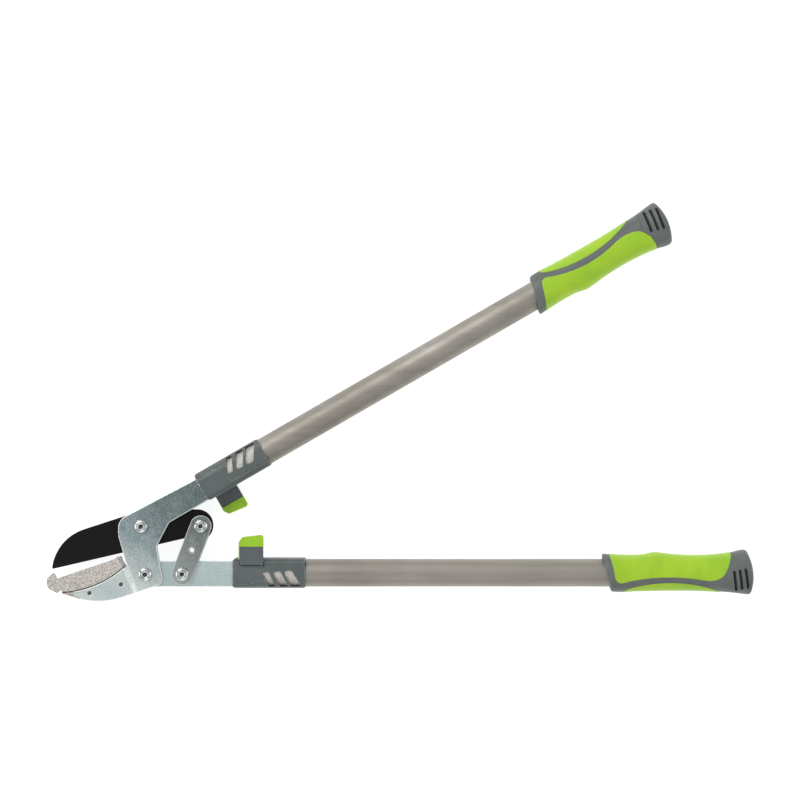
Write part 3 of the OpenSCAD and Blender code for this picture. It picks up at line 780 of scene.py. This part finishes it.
def mouth_rings():
    """The bore, then a lip rolled from the bore to the outside."""
    bore_x = [grip_point(BORE_DEPTH, t).x for t in RING_ANGLES]
    rings = [[Vector((x, BORE_R * math.cos(t), BORE_R * math.sin(t))) for x, t in zip(bore_x, RING_ANGLES)]]
    for k in range(ROUND_STEPS + 1):
        turn = math.pi * k / ROUND_STEPS
        ring = []
        for t in RING_ANGLES:
            edge = grip_point(0, t)
            way = outward(edge)
            centre = edge + Vector((LIP_R, 0, 0)) - way * LIP_R
            ring.append(centre - Vector((math.sin(turn), 0, 0)) * LIP_R - way * math.cos(turn) * LIP_R)
        rings.append(ring)
    return rings


def barrel_rings(side):
    """The grip's length, with close rings at the mouth and where the slots are cut."""
    stations = [2.4 + 1.6 * k for k in range(10)]
    stations += [19 + 2.2 * k for k in range(44)]
    stations += [115.6 + 0.4 * k for k in range(56)]
    rings = []
    for x in stations:
        points = [grip_point(x, t) for t in RING_ANGLES]
        rings.append([p - outward(p) * slot_dig(side, p) for p in points])
    return rings, [grip_point(stations[-1], t) for t in RING_ANGLES]


def end_rings(edge):
    """The rounded corner from the barrel's edge, then the end, closed towards its middle."""
    rings = []
    for k in range(1, ROUND_STEPS + 1):
        turn = math.pi / 2 * k / ROUND_STEPS
        ring = []
        for p in edge:
            q = p - outward(p) * CORNER_R * (1 - math.cos(turn))
            q.x = p.x + (end_plane(q.y, q.z) - p.x) * math.sin(turn)
            ring.append(q)
        rings.append(ring)
    last = rings[-1]
    for share in (0.8, 0.6, 0.4, 0.2, 0.03):
        rings.append([Vector((end_plane(p.y * share, p.z * share), p.y * share, p.z * share)) for p in last])
    return rings


def grip_core(side, matrix):
    """Grey moulding: rolled mouth, bands between the pads, and the flared end with dark-floored slots."""
    barrel, edge = barrel_rings(side)
    bm = bmesh.new()
    rows = skin_rings(bm, mouth_rings() + barrel + end_rings(edge))
    bm.faces.new(rows[-1])
    for f in bm.faces:
        c = f.calc_center_median()
        if c.x < GRIP_LEN - 2 and slot_dig(side, c) > SLOT_SHADE_FROM:
            f.material_index = 1
    bmesh.ops.transform(bm, matrix=GRIP_STRETCH[side], verts=bm.verts)
    obj = mesh_object(side + "_grip_moulding", bm, (GRIP, GAP), matrix)
    finish_piece(obj, side + "_handle", side + "_grip")


# Pads: their height, how far under the surface their border and their back go, and the border's width.
# The steps over a pad are spaced as on one this long and this wide, on a grip of this mean radius.
PAD_HEIGHT = 0.5
PAD_TUCK = 0.7
PAD_THICKNESS = 0.9
PAD_BORDER = 1.1
PAD_LENGTH = 118.0
PAD_WIDTH = 60.0
PAD_GIRTH_R = 17.2
BORDER_STEPS = [0, 0.12, 0.3, 0.55, 0.85, 1.2, 1.8]
PAD_STEP = 1.7


def rim_lift(edge_mm):
    """Height of a pad above the moulding, rolled down at its border."""
    u = max(0.0, 1 - edge_mm / PAD_BORDER)
    return PAD_HEIGHT - (PAD_HEIGHT + PAD_TUCK) * (1 - math.sqrt(1 - u * u))


def border_steps(length):
    """Steps along a length, close together at both ends."""
    border = BORDER_STEPS[-1]
    inner = length - 2 * border
    count = round(inner / PAD_STEP)
    middle = [border + inner * k / count for k in range(1, count)]
    return BORDER_STEPS + middle + [length - f for f in reversed(BORDER_STEPS)]


def grip_pad(side, matrix, name, node, x_range, hump, centre_angle, corners):
    """A raised soft pad, wrapped round one side of the grip.

    x_range(side, share) is where it starts and ends, from its middle line (0) to its edge (1). hump says
    how far towards the other handle its edge is. corners are the radii at its mouth end and its far end,
    in millimetres.
    """
    middle_y, fall, middle_x, half_len = hump
    rows = []
    for a in border_steps(PAD_LENGTH):
        ring = []
        near = min(a, PAD_LENGTH - a)
        corner = corners[0] if a < PAD_LENGTH / 2 else corners[1]
        inside = max(0.0, 1 - near / corner)
        trim = corner * (1 - math.sqrt(1 - inside ** 2)) / PAD_GIRTH_R
        for b in border_steps(PAD_WIDTH):
            t = 2 * b / PAD_WIDTH - 1
            x0, x1 = x_range(side, abs(t))
            x = x0 + (x1 - x0) * a / PAD_LENGTH
            edge_y = middle_y - fall * ((x - middle_x) / half_len) ** 2
            if centre_angle:
                edge_y = -edge_y
            edge = math.acos(max(-0.999, min(0.999, edge_y / PAD_GIRTH_R)))
            turn = t * max(0.02, edge - trim)
            lift = rim_lift(min(near, b, PAD_WIDTH - b))
            ring.append(grip_point(x, centre_angle + turn, lift))
        rows.append(ring)
    bm = bmesh.new()
    skin_rings(bm, rows, closed_ring=False)
    inward = [[p - outward(p) * PAD_THICKNESS for p in ring] for ring in rows]
    skin_rings(bm, inward, closed_ring=False)
    bmesh.ops.transform(bm, matrix=GRIP_STRETCH[side], verts=bm.verts)
    obj = mesh_object(side + name, bm, (GREEN,), matrix)
    finish_piece(obj, side + "_handle", node)


def big_pad_range(side, share):
    """The large pad's ends: its mouth end leans, and its far end is a shallow wave."""
    lean, end = {"lower": (1.8, 117.6), "upper": (4.6, 118.6)}[side]
    return 5.2 + lean * share ** 1.5, end + 1.4 * math.sin(math.pi * share) - 1.2 * share ** 3


def small_pad_range(side, share):
    """The small pad's ends, which are square and the same on both handles."""
    return 14.0, 108.0


# How far towards the other handle a pad's edge is: its middle, its fall, where that is and over what length
BIG_HUMP = {"lower": (-3.5, 4.2, 59, 41), "upper": (-0.9, 6.6, 58, 38)}
SMALL_HUMP = {"lower": (-8.8, 8.3, 60, 48), "upper": (-6.6, 8.4, 58, 45)}
BIG_CORNERS = {"lower": (9.0, 26.0), "upper": (10.0, 34.0)}
SMALL_CORNERS = (3.0, 3.0)


# ---------------------------------------------------------------- handles

for side in SIDES:
    grip_end = along_handle(side, side + "_grip")[1]
    grip_frame = HANDLE[side] @ Matrix.Translation(((grip_end - GRIP_LEN) * MM, 0, 0))
    grip_core(side, grip_frame)
    grip_pad(side, grip_frame, "_grip_big_pad", side + "_grip_inner_pad",
             big_pad_range, BIG_HUMP[side], 0.0, BIG_CORNERS[side])
    grip_pad(side, grip_frame, "_grip_small_pad", side + "_grip_outer_pad",
             small_pad_range, SMALL_HUMP[side], math.pi, SMALL_CORNERS)


# ---------------------------------------------------------------- floor, light and camera

FLOOR_HALF = 6000
FLOOR_HEIGHT = -0.8 * MM


def floor():
    """Pale floor that glows a little, so that it reads as white paper with a soft contact shadow."""
    bm = bmesh.new()
    bmesh.ops.create_grid(bm, x_segments=1, y_segments=1, size=FLOOR_HALF)
    n = Nodes("pale_floor")
    paper = n.mix(n.noise(3, 2, 0.5), (0.38, 0.38, 0.38), (0.42, 0.42, 0.42))
    n.done(Base_Color=paper, Roughness=0.8, Specular_IOR_Level=0.1,
           Emission_Color=(1.0, 1.0, 1.0), Emission_Strength=0.82)
    obj = mesh_object("floor", bm, (n.mat,), Matrix.Translation((0, 0, FLOOR_HEIGHT)), smooth=False)


# Each softbox's direction (azimuth and elevation in degrees), distance and size in metres, and watts
SOFTBOXES = {
    "key": (128, 45, 2.3, (1.3, 0.8), 20),
    "fill": (258, 45, 2.2, (1.2, 0.8), 4),
    "top": (300, 76, 2.2, (1.6, 1.2), 2),
    "right": (5, 20, 2.0, (1.0, 0.6), 6),
    "left": (185, 28, 2.0, (1.0, 0.6), 6),
}


def soft_light(name, azimuth, elevation, distance, size, power):
    """A rectangular softbox aimed at the tool."""
    a, e = math.radians(azimuth), math.radians(elevation)
    place = Vector((math.cos(a) * math.cos(e), math.sin(a) * math.cos(e), math.sin(e))) * distance
    data = bpy.data.lights.new(name, "AREA")
    data.shape = "RECTANGLE"
    data.size, data.size_y = size
    data.energy = power
    obj = bpy.data.objects.new(name, data)
    obj.location = place
    obj.rotation_euler = (-place).to_track_quat("-Z", "Y").to_euler()
    bpy.context.scene.collection.objects.link(obj)


def world():
    """Even white studio light from all round."""
    sky = bpy.data.worlds.new("studio")
    sky.use_nodes = True
    background = sky.node_tree.nodes["Background"]
    background.inputs["Color"].default_value = (1, 1, 1, 1)
    background.inputs["Strength"].default_value = 0.48
    bpy.context.scene.world = sky


# In millimetres: the lens, its sensor, the width in view, and how far beside the tool's middle it stands
LENS = 135.0
SENSOR = 36.0
VIEW_WIDTH = 760
CAMERA_ASIDE = (-0.2, 1.4)


def camera():
    """Long lens, straight above the tool and looking down."""
    middle = (CAD_BOX[0] + CAD_BOX[1]) / 2
    data = bpy.data.cameras.new("camera")
    data.lens = LENS
    data.sensor_width = SENSOR
    obj = bpy.data.objects.new("camera", data)
    obj.location = middle + Vector((*CAMERA_ASIDE, VIEW_WIDTH * LENS / SENSOR)) * MM
    bpy.context.scene.collection.objects.link(obj)
    bpy.context.scene.camera = obj


floor()
world()
for name, setting in SOFTBOXES.items():
    soft_light(name, *setting)
camera()
bpy.context.scene.view_settings.view_transform = "Standard"
